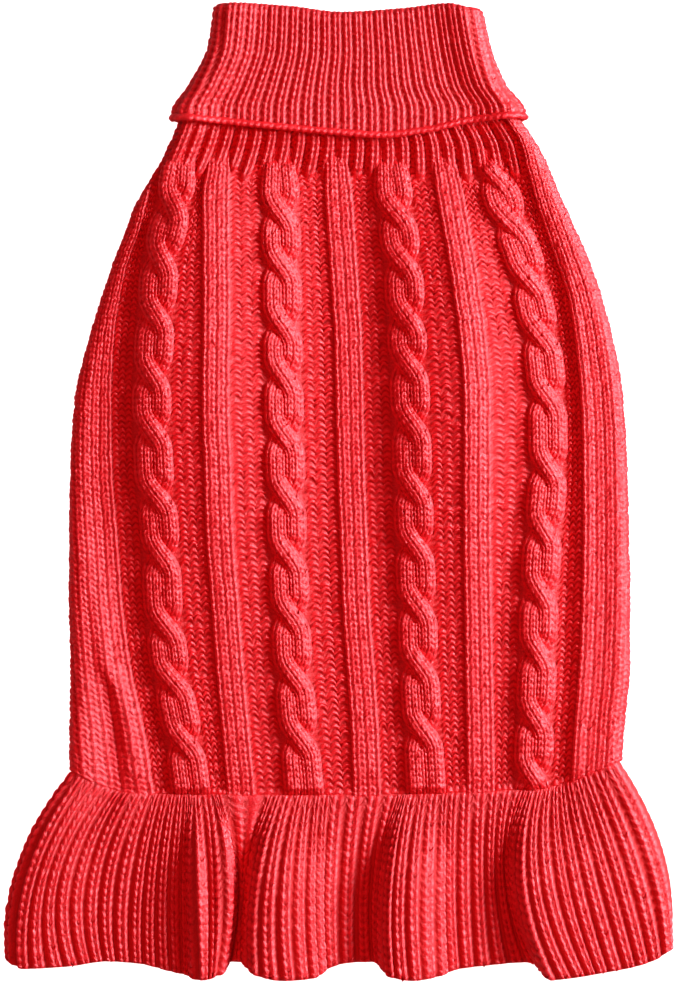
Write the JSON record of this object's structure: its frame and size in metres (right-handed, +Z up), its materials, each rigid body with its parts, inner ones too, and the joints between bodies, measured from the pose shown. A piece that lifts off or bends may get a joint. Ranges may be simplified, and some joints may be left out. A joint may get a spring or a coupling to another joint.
{
  "type": "dog sweater",
  "caption": "Cable-knit pet sweater lying flat, back up, with a folded ribbed turtleneck, leg holes on the belly side and a ribbed ruffle round the hem.",
  "frame": {"origin": "middle of the sweater's length and width, on the surface it lies on", "axes": "+Y towards the neck, +Z up out of the back of the sweater, +X to the right as the back is seen with the neck at the top"},
  "size_m": [0.2673, 0.3904, 0.0184],
  "materials": {
    "back_knit": "soft knitted yarn, matt",
    "belly_knit": "soft knitted yarn, matt",
    "collar_knit": "soft knitted yarn, matt",
    "ruffle_knit": "soft knitted yarn, matt"
  },
  "bodies": {
    "root": {"back_panel": "back_knit", "belly_panel": "belly_knit", "collar": "collar_knit", "ruffle": "ruffle_knit"}
  },
  "joints": []
}
